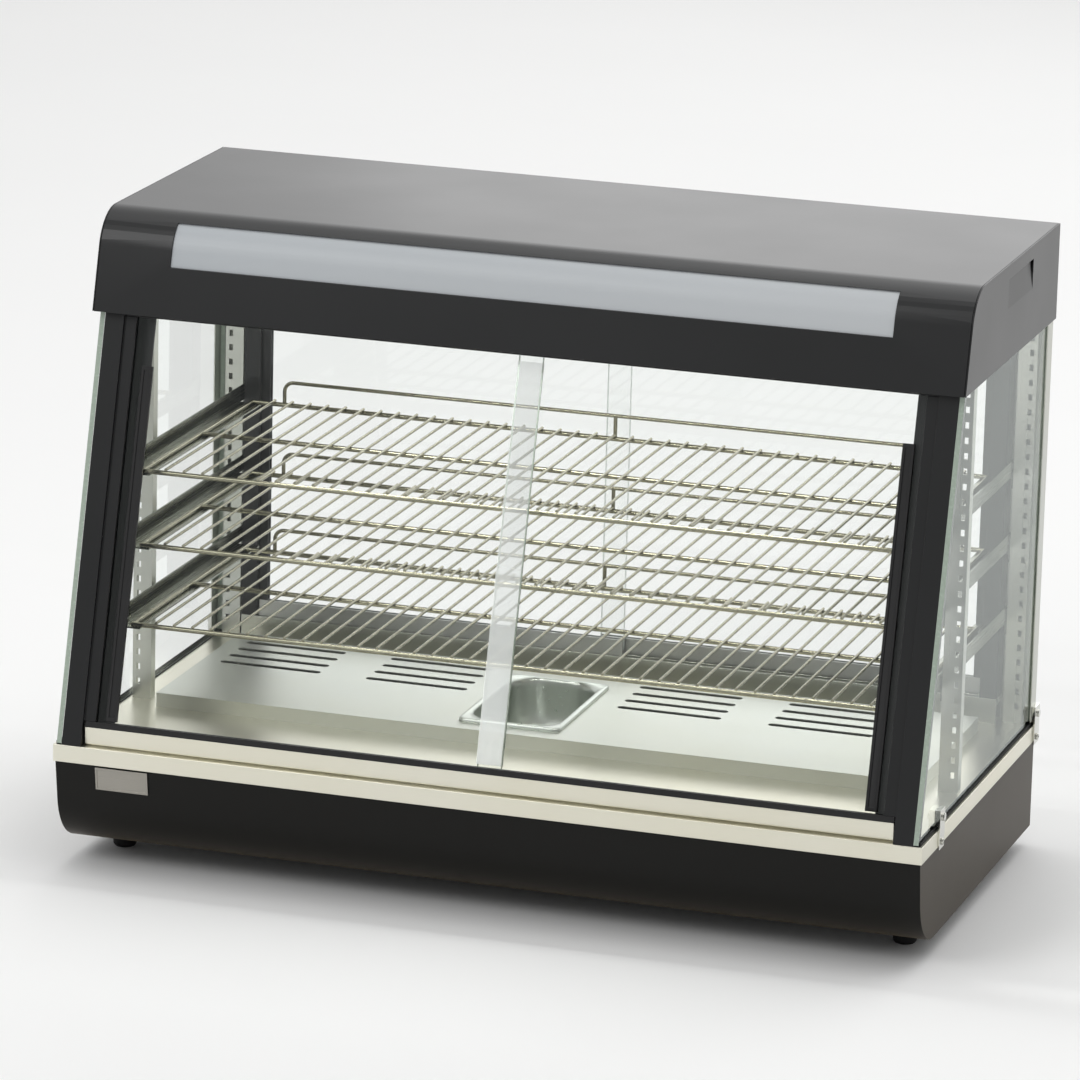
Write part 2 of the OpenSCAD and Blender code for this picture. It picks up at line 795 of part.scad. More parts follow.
module rear_glass_left() { rear_glass(-1, rear_inner_y, lap_inner); }
module rear_glass_right() { rear_glass(1, rear_outer_y, lap_outer); }
module rear_frame_left() { rear_frame(-1, rear_inner_y, lap_inner); }
module rear_frame_right() { rear_frame(1, rear_outer_y, lap_outer); }

// ---- Shelves ----

module standard(y) {
    slots = floor((ceiling_z - deck_h - 30) / standard_pitch);
    difference() {
        block([standard_in, y, deck_h], [standard_in + standard_w, y + standard_d, ceiling_z]);
        block([standard_in + sheet, y + sheet, deck_h - 1],
              [standard_in + standard_w - sheet, y + standard_d + 1, ceiling_z + 1]);
        for (i = [0 : slots])
            translate([standard_in + standard_w - hook_edge - hook_w, y - 1,
                       deck_h + hook_first + standard_pitch * i])
                cube([hook_w, sheet + 2, hook_h]);
    }
}

module standards(y) {
    color(stainless) for (side = [-1, 1]) on_side(side) standard(y);
}

module front_standards() { standards(front_standard_y); }
module rear_standards() { standards(rear_standard_y); }

function shelf_z(level) = deck_h + shelf_base + shelf_pitch * level;
function shelf_shift(level) = level == 0 ? -shelf_step : 0;

module shelf_rails(level) {
    z = shelf_z(level) - frame_wire / 2 - sheet;
    y0 = shelf_y0 + shelf_shift(level);
    color(stainless) for (side = [-1, 1]) on_side(side) {
        block([web_x - rail_flange, y0, z], [web_x, shelf_y1 + 2, z + sheet]);
        block([web_x - sheet, y0, z], [web_x, rear_standard_y + standard_d - 2, z + rail_web]);
    }
}

module rails_top() { shelf_rails(2); }
module rails_middle() { shelf_rails(1); }
module rails_bottom() { shelf_rails(0); }

module shelf_clips() {
    color("#6f716e") for (side = [-1, 1], level = [0 : 2], y = [front_standard_y, rear_standard_y])
        on_side(side) {
            z = shelf_z(level) - frame_wire / 2 - sheet;
            block([web_x, y, z - 12], [standard_in, y + standard_d - 2, z + rail_web - 2]);
            block([web_x - 3, y, z - 3], [web_x, y + standard_d - 2, z]);
        }
}

// Wire shelf: frame, middle wire, cross wires on top and a guard rail at the rear
module wire_shelf(level) {
    z = shelf_z(level);
    y0 = shelf_y0 + shelf_shift(level) + frame_wire / 2;
    y1 = shelf_y1 + shelf_shift(level) - frame_wire / 2;
    x1 = shelf_x - frame_wire / 2;
    fr = frame_wire / 2;
    cr = cross_wire / 2;
    cz = z + fr + cr - weld;
    spans = 2 * floor((x1 - 6) / wire_pitch);
    color("#c4c6bf") {
        for (y = [y0, (y0 + y1) / 2 + middle_wire_shift, y1]) rod_x(-x1, x1, y, z, fr);
        for (sx = [-1, 1]) rod_y(sx * x1, y0, y1, z, fr);
        for (sx = [-1, 1], y = [y0, y1]) translate([sx * x1, y, z]) sphere(r = fr);
        for (i = [-spans / 2 : spans / 2]) rod_y(i * wire_pitch, y0, y1 + fr, cz, cr);
        guard_rail(z + fr, y1 + fr + guard_r - weld, x1 - guard_inset, guard_bend, guard_h);
    }
}

// Upright rail with rounded ends, welded to the rear frame wire
module guard_rail(z, y, x, bend, rise) {
    top = z + rise;
    foot = z - 3;
    for (sx = [-1, 1]) on_side(sx) {
        translate([x, y, foot]) cylinder(h = top - bend - foot, r = guard_r);
        translate([x - bend, y, top - bend]) rotate([90, 0, 0])
            rotate_extrude(angle = 90) translate([bend, 0]) circle(r = guard_r);
    }
    rod_x(-x + bend, x - bend, y, top, guard_r);
    translate([0, y, foot]) cylinder(h = top - foot, r = guard_r);
}

module shelf_top() { wire_shelf(2); }
module shelf_middle() { wire_shelf(1); }
module shelf_bottom() { wire_shelf(0); }

// ---- Hood ----

// Side view of the hood, inset by t at the front and top
module hood_section(t, over) {
    tangent_y = shoulder_y - (hood_roll - t) * cos(front_lean);
    tangent_z = shoulder_z + (hood_roll - t) * sin(front_lean);
    foot = hood_z - over;
    intersection() {
        translate([shoulder_y, shoulder_z]) circle(r = hood_roll - t, $fn = 96);
        translate([shoulder_y - hood_roll, shoulder_z]) square(hood_roll);
    }
    polygon([
        [tangent_y, tangent_z], [tangent_y - (tangent_z - foot) * tan(front_lean), foot],
        [hood_y1 + over, foot], [hood_y1 + over, case_h - t], [shoulder_y, case_h - t],
        [shoulder_y, shoulder_z]]);
}

module hood_skin(t0, t1) {
    difference() {
        hood_section(t0, 0);
        hood_section(t1, 20);
    }
}

module hood_shell() {
    color(paint_black) difference() {
        along_x(-shell_x, shell_x) hood_skin(0, sheet);
        block([-light_x, front_y, light_z], [light_x, shoulder_y, light_z + light_h]);
    }
}

module hood_end_cap(side) {
    z0 = louvre_z - louvre_h;
    color(paint_black) on_side(side) {
        difference() {
            along_x(cap_x, half_w) hood_section(0, 0);
            block([cap_x - 1, louvre_y, z0], [half_w + 1, louvre_y + louvre_l, louvre_z]);
        }
        intersection() {
            along_x(cap_x - 10, cap_x) hood_skin(sheet + 0.25, 2 * sheet + 0.25);
            block([0, front_y, hood_z], [half_w, hood_y1 - 3 * sheet, case_h]);
        }
        translate([0, louvre_y + louvre_l, 0]) rotate([90, 0, 0]) linear_extrude(louvre_l)
            polygon([
                [half_w, z0], [half_w - louvre_depth, louvre_z],
                [half_w - louvre_depth - sheet, louvre_z], [cap_x, z0 - 1], [half_w, z0 - 0.5]]);
    }
}

module hood_end_cap_left() { hood_end_cap(-1); }
module hood_end_cap_right() { hood_end_cap(1); }

module hood_back_panel() {
    vent_w = 24;
    vent_h = 5;
    vent_pitch = 40;
    vents = floor((shell_x - 60) / vent_pitch);
    color(paint_black) difference() {
        block([-shell_x, hood_y1 - sheet, hood_z], [shell_x, hood_y1, case_h - sheet - 0.2]);
        for (sx = [-1, 1], i = [0 : vents - 1])
            translate([sx * (30 + vent_pitch * i), hood_y1, hood_z + 60])
                cube([vent_w, 10, vent_h], center = true);
        at_panel_screws(hood_y1 - 5, hood_screw_z) cylinder(h = 10, r = screw_r + fixed_gap);
    }
}

module ceiling_panel() {
    y0 = lean_y(ceiling_z) + fascia_y + sheet / cos(front_lean) + 2;
    color(stainless) difference() {
        block([-shell_x + 12, y0, ceiling_z], [shell_x - 12, hood_y1 - sheet - 0.3, ceiling_z + sheet]);
        block([-lamp_x + 30, lamp_y - lamp_slot, ceiling_z - 1],
              [lamp_x - 30, lamp_y + lamp_slot, ceiling_z + sheet + 1]);
    }
}

module light_diffuser() {
    color("#e6ebee") intersection() {
        along_x(-light_x - diffuser_lap, light_x + diffuser_lap)
            hood_skin(sheet + 0.1, sheet + 0.1 + diffuser_t);
        block([-half_w, front_y, light_z - diffuser_lap], [half_w, shoulder_y, light_z + light_h + 3]);
    }
}

module lamp_tube() {
    color("#f4f6f6") rod_x(-lamp_x, lamp_x, lamp_y, lamp_z, lamp_dia / 2);
    color("#b8b8b4") for (side = [-1, 1]) on_side(side) rod_x(lamp_x, lamp_x + 6, lamp_y, lamp_z, 3);
}

module lamp_holders() {
    r = lamp_dia / 2 + 3;
    color("#eeeeec") for (side = [-1, 1]) on_side(side) difference() {
        union() {
            rod_x(lamp_x + 0.5, lamp_x + 10, lamp_y, lamp_z, r);
            block([lamp_x + 0.5, lamp_y - r, ceiling_z + sheet], [lamp_x + 10, lamp_y + r, lamp_z]);
        }
        rod_x(lamp_x, lamp_x + 7, lamp_y, lamp_z, 3.1);
    }
}

module lamp_reflector() {
    y = lamp_y + lamp_dia / 2 + 10;
    color("#f2f2ef") {
        block([-lamp_x, y, ceiling_z + sheet], [lamp_x, y + 1, case_h - sheet - 6]);
        block([-lamp_x, y + 1, ceiling_z + sheet], [lamp_x, y + 14, ceiling_z + sheet + 1]);
    }
}

// ---- Controls ----

module thermostat_body() {
    y1 = panel_y - sheet;
    half = 17;
    depth = 26;
    color("#d9d4c4") difference() {
        block([knob_x - half, y1 - depth, control_h - half], [knob_x + half, y1, control_h + half]);
        rod_y(knob_x, y1 - 12, y1 + 1, control_h, shaft_r + spin_gap);
    }
}

module thermostat_knob() {
    y0 = panel_y + 3;
    y1 = rear_y + control_reach;
    flutes = 10;
    color(trim_black) {
        rod_y(knob_x, panel_y - sheet - 11, y0, control_h, shaft_r);
        difference() {
            union() {
                rod_y(knob_x, y0, y0 + 4, control_h, knob_dia / 2);
                rod_y(knob_x, y0 + 4, y1, control_h, knob_dia / 2 - 5);
            }
            for (i = [1 : flutes]) translate([knob_x, 0, control_h]) rotate([0, i * 360 / (flutes + 1), 0])
                rod_y(knob_dia / 2 - 3.5, y0 + 4, y1 + 1, 0, 2.6);
        }
    }
}

module switch_housings() {
    color(trim_black) for (x = switch_row) difference() {
        union() {
            block([x - switch_w - 2, panel_y, control_h - switch_h - 2],
                  [x + switch_w + 2, panel_y + bezel_t, control_h + switch_h + 2]);
            block([x - switch_w, panel_y - 20, control_h - switch_h],
                  [x + switch_w, panel_y, control_h + switch_h]);
        }
        block([x - rocker_w / 2 - slide_gap, rocker_y - rocker_r - 1, control_h - rocker_r - 0.4],
              [x + rocker_w / 2 + slide_gap, panel_y + 5, control_h + rocker_r + 0.4]);
        rod_x(x - rocker_w / 2 - 1.3, x + rocker_w / 2 + 1.3, rocker_y, control_h, pin_r + spin_gap);
    }
}

// Ridged rocker, drawn at rest with its lower half pressed in
module rocker(x, tone) {
    fall = rocker_r * tan(rocker_tilt);
    ridge = 6.5;
    translate([0, rocker_y, control_h]) rotate([-rocker_tilt, 0, 0]) color(tone) {
        along_x(x - rocker_w / 2, x + rocker_w / 2) intersection() {
            circle(r = rocker_r);
            polygon([[-7, -12], [ridge - fall, -rocker_r], [ridge, 0], [ridge - fall, rocker_r], [-7, 12]]);
        }
        rod_x(x - rocker_w / 2 - 1.1, x + rocker_w / 2 + 1.1, 0, 0, pin_r);
    }
}

module power_rocker() { rocker(switch_row[0], "#3c7a3a"); }
module light_rocker() { rocker(switch_row[1], "#1b1b1c"); }

module pilot_lamps() {
    color("#c9822b") for (x = lamp_row) {
        rod_y(x, panel_y - 14, panel_y, control_h, lens_r);
        rod_y(x, panel_y, panel_y + 2, control_h, lens_r + 1.5);
        translate([x, panel_y + 2, control_h]) rotate([-90, 0, 0])
            cylinder(h = 2, r1 = lens_r + 0.2, r2 = lens_r - 1.2);
    }
}

gland_bore = 4.25;

module cable_gland() {
    color(trim_black) difference() {
        union() {
            rod_y(gland_x, panel_y - 9, panel_y, control_h, gland_r);
            translate([gland_x, panel_y, control_h]) rotate([-90, 0, 0])
                cylinder(h = 5, r = gland_r + 3, $fn = 6);
            rod_y(gland_x, panel_y + 5, panel_y + 15, control_h, gland_r);
            translate([gland_x, panel_y - sheet - 4, control_h]) rotate([-90, 0, 0])
                cylinder(h = 4, r = gland_r + 3, $fn = 6);
        }
        rod_y(gland_x, panel_y - 20, panel_y + 30, control_h, gland_bore);
    }
}

module panel_screw() {
    cylinder(h = screw_head_h, r = screw_head_r);
    translate([0, 0, -6]) cylinder(h = 6, r = screw_r);
}

module pan_head_screws() {
    color("#b9bab6") {
        at_panel_screws(base_rear, base_screw_z) panel_screw();
        at_panel_screws(hood_y1, hood_screw_z) panel_screw();
        for (side = [-1, 1], y = [clip_front_y, clip_rear_y]) on_side(side)
            rod_x(half_w + clip_t, half_w + clip_t + screw_head_h, y + clip_w / 2, clip_z0 + 7, screw_head_r);
    }
}

base_housing();
base_bottom_plate();
base_back_panel();
rubber_feet();
foot_screws();
deck();
heater_well();
heater_cover();
heating_elements();
element_brackets();
water_pan();
name_plate();
front_post_left();
front_post_right();
front_door_rail();
front_lower_track();
front_upper_track();
front_glass_left();
front_pull_left();
front_glass_right();
front_pull_right();
side_glass_left();
side_glass_right();
side_gaskets();
glass_clips();
rear_post_left();
rear_post_right();
rear_jambs();
rear_door_rail();
rear_upper_track();
rear_glass_left();
rear_frame_left();
rear_glass_right();
rear_frame_right();
front_standards();
rear_standards();
rails_top();
rails_middle();
rails_bottom();
shelf_clips();
shelf_top();
shelf_middle();
shelf_bottom();
hood_shell();
hood_end_cap_left();
hood_end_cap_right();
hood_back_panel();
ceiling_panel();
light_diffuser();
lamp_tube();
lamp_holders();
lamp_reflector();
thermostat_body();
thermostat_knob();
switch_housings();
power_rocker();
light_rocker();
pilot_lamps();
cable_gland();
pan_head_screws();
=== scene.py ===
import json
import math

import bmesh
import bpy
from mathutils import Matrix, Vector

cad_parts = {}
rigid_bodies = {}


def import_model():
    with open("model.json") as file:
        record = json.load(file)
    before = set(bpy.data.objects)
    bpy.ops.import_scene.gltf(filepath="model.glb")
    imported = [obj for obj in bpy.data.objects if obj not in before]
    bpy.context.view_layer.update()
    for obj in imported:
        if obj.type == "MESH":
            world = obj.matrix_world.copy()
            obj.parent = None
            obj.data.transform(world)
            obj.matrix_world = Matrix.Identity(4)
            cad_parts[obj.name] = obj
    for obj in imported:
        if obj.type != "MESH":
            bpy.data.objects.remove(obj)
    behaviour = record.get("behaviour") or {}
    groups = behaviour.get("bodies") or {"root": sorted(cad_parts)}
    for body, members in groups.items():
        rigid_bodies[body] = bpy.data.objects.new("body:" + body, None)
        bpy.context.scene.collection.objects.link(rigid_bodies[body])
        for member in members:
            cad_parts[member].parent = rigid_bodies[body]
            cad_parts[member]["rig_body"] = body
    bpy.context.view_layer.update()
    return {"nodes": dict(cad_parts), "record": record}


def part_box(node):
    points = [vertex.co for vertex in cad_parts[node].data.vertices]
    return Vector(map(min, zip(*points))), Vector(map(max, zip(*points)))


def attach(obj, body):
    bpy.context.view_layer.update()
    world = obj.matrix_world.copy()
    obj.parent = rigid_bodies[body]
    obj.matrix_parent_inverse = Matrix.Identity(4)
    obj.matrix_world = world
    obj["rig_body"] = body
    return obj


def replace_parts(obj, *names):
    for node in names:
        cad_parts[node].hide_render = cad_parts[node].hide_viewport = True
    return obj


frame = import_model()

SLOTS = {part["node"]: part["material_slot"] for part in frame["record"]["subparts"]}
MM = 0.001
X, Y, Z = Vector((1, 0, 0)), Vector((0, 1, 0)), Vector((0, 0, 1))
FRONT_LEAN = math.radians(14.8)  # of the front doors and posts, back from upright
REAR_PROFILE = 17.5 * MM  # height of the lower profile of a rear door over its rail
CREASE = 32  # degrees; a sharper edge gets a bevel and stays crisp in the shading
WELD = 0.00001  # vertices closer than this are taken as one
FLAT = math.radians(0.3)  # faces that bend less than this are taken as one
BEVEL_SEGMENTS = 2


# ---- Materials ----

def rgb(red, green, blue):
    """Linear colour of a colour given in 0..255, by the sRGB curve."""
    def linear(value):
        share = value / 255
        return share / 12.92 if share <= 0.04045 else ((share + 0.055) / 1.055) ** 2.4
    return (linear(red), linear(green), linear(blue), 1.0)


class Graph:
    """Short calls that build one material's node tree."""

    def __init__(self, name):
        self.material = bpy.data.materials.new(name)
        self.material.use_nodes = True
        self.tree = self.material.node_tree
        self.tree.nodes.clear()

    def put(self, socket, value):
        """Sets an input, or links it where value is another node's output."""
        if isinstance(value, bpy.types.NodeSocket):
            self.tree.links.new(value, socket)
        else:
            socket.default_value = value

    def add(self, kind, inputs=None, **settings):
        """A new node with its inputs and settings."""
        node = self.tree.nodes.new(kind)
        for key, value in settings.items():
            setattr(node, key, value)
        for key, value in (inputs or {}).items():
            self.put(node.inputs[key], value)
        return node

    def place(self, scale=(1, 1, 1)):
        """Coordinates on the object in metres, times scale."""
        point = self.add("ShaderNodeTexCoord").outputs["Object"]
        return self.add("ShaderNodeMapping", {"Vector": point, "Scale": scale}).outputs[0]

    def noise(self, vector, scale, detail=3.0, rough=0.55):
        """Noise about 0.5, from 0 to 1."""
        inputs = {"Vector": vector, "Scale": scale, "Detail": detail, "Roughness": rough}
        return self.add("ShaderNodeTexNoise", inputs).outputs["Fac"]

    def remap(self, value, low, high, start=0.3, end=0.7):
        """The value from start to end as low to high, held at both ends."""
        inputs = {"Value": value, "From Min": start, "From Max": end, "To Min": low, "To Max": high}
        return self.add("ShaderNodeMapRange", inputs).outputs[0]

    def blend(self, share, first, second):
        """The colour between first and second at share."""
        node = self.add("ShaderNodeMix", data_type="RGBA")
        self.put(node.inputs[0], share)
        self.put(node.inputs[6], first)
        self.put(node.inputs[7], second)
        return node.outputs[2]

    def bump(self, height, distance, strength):
        """The normal of a surface whose height varies by distance, in metres."""
        inputs = {"Height": height, "Distance": distance, "Strength": strength}
        return self.add("ShaderNodeBump", inputs).outputs[0]

    def finish(self, shader):
        """Makes shader the surface and returns the material."""
        self.add("ShaderNodeOutputMaterial", {"Surface": shader})
        return self.material

    def principled(self, **inputs):
        """Finishes the material as one Principled BSDF; _ stands for a space."""
        named = {key.replace("_", " "): value for key, value in inputs.items()}
        return self.finish(self.add("ShaderNodeBsdfPrincipled", named).outputs[0])


def shade(colour, factor):
    """The colour times factor, opaque."""
    return tuple(channel * factor for channel in colour[:3]) + (1.0,)


def powder_coat(name, tone, gloss=0.3, level=0.5, **extra):
    """Satin paint with a fine orange peel and faint handling marks."""
    graph = Graph(name)
    peel = graph.noise(graph.place(), scale=700, detail=2)
    cloud = graph.noise(graph.place(), scale=6, rough=0.5)
    return graph.principled(
        Base_Color=graph.blend(cloud, shade(tone, 0.88), shade(tone, 1.14)),
        Roughness=graph.remap(cloud, gloss - 0.015, gloss + 0.02),
        Specular_IOR_Level=level,
        Normal=graph.bump(peel, distance=0.00005, strength=0.3), **extra)


def brushed(name, tone, grain=(4, 1100, 1100), gloss=0.3, spread=0.06):
    """Brushed stainless steel; grain is stretched along its smallest scale."""
    graph = Graph(name)
    lines = graph.noise(graph.place(grain), scale=1, rough=0.6)
    cloud = graph.noise(graph.place(), scale=5, rough=0.5)
    warmth = (0.97, 0.955, 0.9)
    warm = tuple(channel * share for channel, share in zip(tone, warmth)) + (1,)
    streak = graph.blend(lines, shade(tone, 0.95), shade(tone, 1.04))
    return graph.principled(
        Base_Color=graph.blend(graph.remap(cloud, 0.0, 0.8), streak, warm),
        Metallic=1.0,
        Roughness=graph.remap(lines, gloss - spread / 2, gloss + spread / 2),
        Normal=graph.bump(lines, distance=0.000012, strength=0.4))


def bright_metal(name, tone, gloss):
    """Plated or drawn metal with slight unevenness."""
    graph = Graph(name)
    cloud = graph.noise(graph.place(), scale=60)
    ripple = graph.noise(graph.place(), scale=500, detail=2)
    return graph.principled(
        Base_Color=graph.blend(cloud, shade(tone, 0.85), shade(tone, 1.1)),
        Metallic=1.0,
        Roughness=graph.remap(cloud, gloss, gloss + 0.08),
        Normal=graph.bump(ripple, distance=0.00003, strength=0.4))


def moulded(name, tone, gloss, texture=1400, depth=0.00006, level=0.5):
    """Moulded plastic or rubber with a fine grain."""
    graph = Graph(name)
    pores = graph.noise(graph.place(), texture, detail=2)
    cloud = graph.noise(graph.place(), scale=25)
    return graph.principled(
        Base_Color=graph.blend(cloud, shade(tone, 0.88), shade(tone, 1.12)),
        Roughness=graph.remap(cloud, gloss - 0.05, gloss + 0.07),
        Specular_IOR_Level=level,
        Normal=graph.bump(pores, depth, strength=0.6))


def clear_glass(name):
    """Face of a pane: passes light straight through and mirrors on its outer side only."""
    graph = Graph(name)
    wipe = graph.noise(graph.place((3, 3, 9)), scale=4, detail=4)
    through = graph.add("ShaderNodeBsdfTransparent", {
        "Color": graph.blend(wipe, (0.982, 0.989, 0.984, 1), (0.994, 0.997, 0.995, 1))})
    mirror = graph.add("ShaderNodeBsdfGlossy", {
        "Color": (0.95, 1.0, 0.98, 1), "Roughness": graph.remap(wipe, 0.01, 0.03)})
    fresnel = graph.add("ShaderNodeFresnel", {"IOR": 1.52}).outputs[0]
    inside = graph.add("ShaderNodeNewGeometry").outputs["Backfacing"]
    outside = graph.add("ShaderNodeMath", {0: 1.0, 1: inside}, operation="SUBTRACT").outputs[0]
    share = graph.add("ShaderNodeMath", {0: fresnel, 1: outside}, operation="MULTIPLY").outputs[0]
    both = graph.add("ShaderNodeMixShader", {0: share, 1: through.outputs[0], 2: mirror.outputs[0]})
    return graph.finish(both.outputs[0])


def glass_edge(name, tone):
    """Ground edge of a pane, tinted by the light that runs inside the glass."""
    graph = Graph(name)
    chips = graph.noise(graph.place(), scale=350)
    return graph.principled(
        Base_Color=graph.blend(chips, shade(tone, 0.8), shade(tone, 1.15)),
        Roughness=graph.remap(chips, 0.16, 0.3), Specular_IOR_Level=0.7,
        Normal=graph.bump(chips, distance=0.0001, strength=0.3))


def milky_strip_with_painted_glow(name, low_z, high_z):
    """Clear soft plastic seal, cloudier towards its lower end, with a faint white glow that is painted
    light.
    """
    graph = Graph(name)
    height = graph.add("ShaderNodeSeparateXYZ", {0: graph.place()}).outputs[2]
    haze = graph.noise(graph.place((1, 1, 0.2)), scale=90)
    alpha_low, alpha_high = 0.42, 0.1
    cloudy = graph.remap(height, alpha_low, alpha_high, low_z, high_z)
    return graph.principled(
        Base_Color=graph.blend(haze, rgb(244, 246, 245), rgb(252, 253, 252)),
        Roughness=graph.remap(haze, 0.25, 0.4), Alpha=cloudy,
        # the white emission is painted light: the seal is no lamp
        Emission_Color=(1, 1, 1, 1), Emission_Strength=0.3)


def opal(name):
    """Extruded light panel, lighter to the right by painted light, with shallow ribs along its length.
    """
    graph = Graph(name)
    ribs = graph.noise(graph.place((2, 500, 500)), scale=1, detail=2)
    run = graph.add("ShaderNodeSeparateXYZ", {0: graph.place()}).outputs[0]
    reach = 0.37  # metres from the middle to where the painted light, lighter to the right, ends
    painted_light_across = graph.remap(run, 0.0, 1.0, -reach, reach)
    return graph.principled(
        Base_Color=graph.blend(painted_light_across, rgb(186, 191, 195), rgb(197, 201, 204)),
        Roughness=graph.remap(ribs, 0.3, 0.42),
        Normal=graph.bump(ribs, distance=0.00003, strength=0.4))


def heat_toned(name):
    """Sheathed element, straw and blue from heat."""
    graph = Graph(name)
    bands = graph.noise(graph.place((14, 14, 14)), scale=1)
    return graph.principled(
        Base_Color=graph.blend(bands, rgb(112, 102, 88), rgb(84, 88, 100)),
        Metallic=1.0, Roughness=graph.remap(bands, 0.35, 0.5))


steel = rgb(196, 198, 192)
FINISH = {
    "black_paint": powder_coat("black_paint", rgb(24, 25, 26)),
    "stainless": brushed("stainless", steel),
    "black_trim": moulded("black_trim", rgb(20, 20, 21), gloss=0.42),
    "clear_glass": clear_glass("clear_glass"),
    "rubber": moulded("rubber", rgb(24, 24, 24), gloss=0.7, texture=900, depth=0.0001, level=0.3),
    "zinc_screw": bright_metal("zinc_screw", rgb(196, 196, 188), gloss=0.2),
    "chrome": bright_metal("chrome", rgb(214, 214, 208), gloss=0.1),
    "chrome_wire": bright_metal("chrome_wire", rgb(152, 149, 130), gloss=0.2),
    "dark_steel": brushed("dark_steel", rgb(112, 113, 110), grain=(60, 60, 400), gloss=0.35),
    "element_sheath": heat_toned("element_sheath"),
    "aluminium_profile": brushed("aluminium_profile", rgb(186, 187, 187), grain=(3, 600, 600),
                                 gloss=0.34, spread=0.1),
    "opal_diffuser": opal("opal_diffuser"),
    "lamp_white": moulded("lamp_white", rgb(240, 241, 240), gloss=0.25),
    "white_paint": powder_coat("white_paint", rgb(236, 236, 232), gloss=0.4),
    "cream_plastic": moulded("cream_plastic", rgb(218, 212, 195), gloss=0.4),
    "green_rocker": moulded("green_rocker", rgb(38, 122, 44), gloss=0.22, texture=2000, depth=0.00002),
    "black_rocker": moulded("black_rocker", rgb(22, 22, 23), gloss=0.22, texture=2000, depth=0.00002),
    "amber_lens": moulded("amber_lens", rgb(214, 118, 22), gloss=0.12, texture=2000, depth=0.00001),
}
green_edge = glass_edge("green_edge", rgb(172, 186, 172))
pale_edge = glass_edge("pale_edge", rgb(226, 232, 228))
upright_steel = brushed("upright_steel", steel, grain=(700, 700, 4))
cross_steel = brushed("cross_steel", steel, grain=(700, 4, 700))
shelf_steel = brushed("shelf_steel", rgb(142, 145, 136), grain=(1100, 4, 1100), gloss=0.26)
rim_steel = brushed("rim_steel", rgb(230, 228, 215), gloss=0.32)
plate_steel = brushed("plate_steel", rgb(158, 155, 149), grain=(4, 900, 900))
cover_steel = brushed("cover_steel", rgb(214, 217, 211), gloss=0.42)
pressed_steel = brushed("pressed_steel", rgb(206, 211, 206), grain=(160, 160, 160))
# Same black paint as the hood, made darker and warmer as painted shade; its brown sheen is a painted
# reflection of a warm floor.
base_paint_painted_shade_and_reflection = powder_coat("base_paint_painted_shade_and_reflection", rgb(15, 15, 13), gloss=0.42, level=0.12, Coat_Weight=0.16,
                         Coat_Roughness=0.3, Sheen_Weight=0.15, Sheen_Roughness=0.4,
                         Sheen_Tint=(0.6, 0.42, 0.2, 1))
SPECIAL = {
    "front_standards": upright_steel, "rear_standards": upright_steel,
    "rear_post_left": upright_steel, "rear_post_right": upright_steel,
    "rails_top": shelf_steel, "rails_middle": shelf_steel, "rails_bottom": shelf_steel,
    "deck": rim_steel, "front_door_rail": rim_steel, "name_plate": plate_steel,
    "base_housing": base_paint_painted_shade_and_reflection, "heater_cover": cover_steel, "heater_well": cross_steel,
}


# ---- Meshes ----

def node_finish(node):
    """The material of a CAD node: its own where SPECIAL has one, else its slot's."""
    return SPECIAL.get(node, FINISH[SLOTS[node]])


def smooth_by_angle(mesh, degrees=CREASE):
    """Smooth shading, with crisp edges where faces bend by more than degrees."""
    mesh.shade_smooth()
    mesh.set_sharp_from_angle(angle=math.radians(degrees))


def add_piece(name, mesh, body, slot, *materials):
    """Links a mesh as a piece that rides on body."""
    piece = bpy.data.objects.new(name, mesh)
    bpy.context.scene.collection.objects.link(piece)
    for material in materials:
        mesh.materials.append(material)
    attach(piece, body)
    return piece


def bevel(piece, width):
    """Rounds every edge sharper than CREASE."""
    modifier = piece.modifiers.new("edges", "BEVEL")
    modifier.width = width
    modifier.segments = BEVEL_SEGMENTS
    modifier.limit_method = "ANGLE"
    modifier.angle_limit = math.radians(CREASE)
    modifier.harden_normals = True
    modifier.use_clamp_overlap = True


def clean_copy(node):
    """A copy of a CAD node's mesh with its flat faces whole, ready for a bevel."""
    mesh = frame["nodes"][node].data.copy()
    mesh.materials.clear()
    work = bmesh.new()
    work.from_mesh(mesh)
    bmesh.ops.remove_doubles(work, verts=work.verts, dist=WELD)
    bmesh.ops.dissolve_limit(work, angle_limit=FLAT, verts=work.verts, edges=work.edges)
    work.to_mesh(mesh)
    work.free()
    return mesh


def softened(node, width):
    """The node again with rounded edges, in its place."""
    mesh = clean_copy(node)
    smooth_by_angle(mesh)
    piece = add_piece(node + "_finished", mesh, frame["nodes"][node]["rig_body"],
                      SLOTS[node], node_finish(node))
    bevel(piece, width)
    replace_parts(piece, node)
    return piece


def black_upright(piece, height):
    """Cuts a rear door frame at height and gives what lies above it the black pull's finish."""
    piece.data.materials.append(FINISH["black_trim"])
    work = bmesh.new()
    work.from_mesh(piece.data)
    everything = work.verts[:] + work.edges[:] + work.faces[:]
    bmesh.ops.bisect_plane(work, geom=everything, plane_co=Z * height, plane_no=Z)
    for face in work.faces:
        face.material_index = 1 if face.calc_center_median().z > height else 0
    work.to_mesh(piece.data)
    work.free()
    smooth_by_angle(piece.data)


def pane(node, edge):
    """A glass pane with clear faces and ground edges."""
    mesh = clean_copy(node)
    smooth_by_angle(mesh)
    piece = add_piece(node + "_finished", mesh, frame["nodes"][node]["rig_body"],
                      SLOTS[node], FINISH["clear_glass"], edge)
    widest = max(mesh.polygons, key=lambda face: face.area).normal.copy()
    parallel = 0.9  # least cosine between the normal of the widest face and that of a clear one
    for face in mesh.polygons:
        face.material_index = 0 if abs(face.normal.dot(widest)) > parallel else 1
    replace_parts(piece, node)


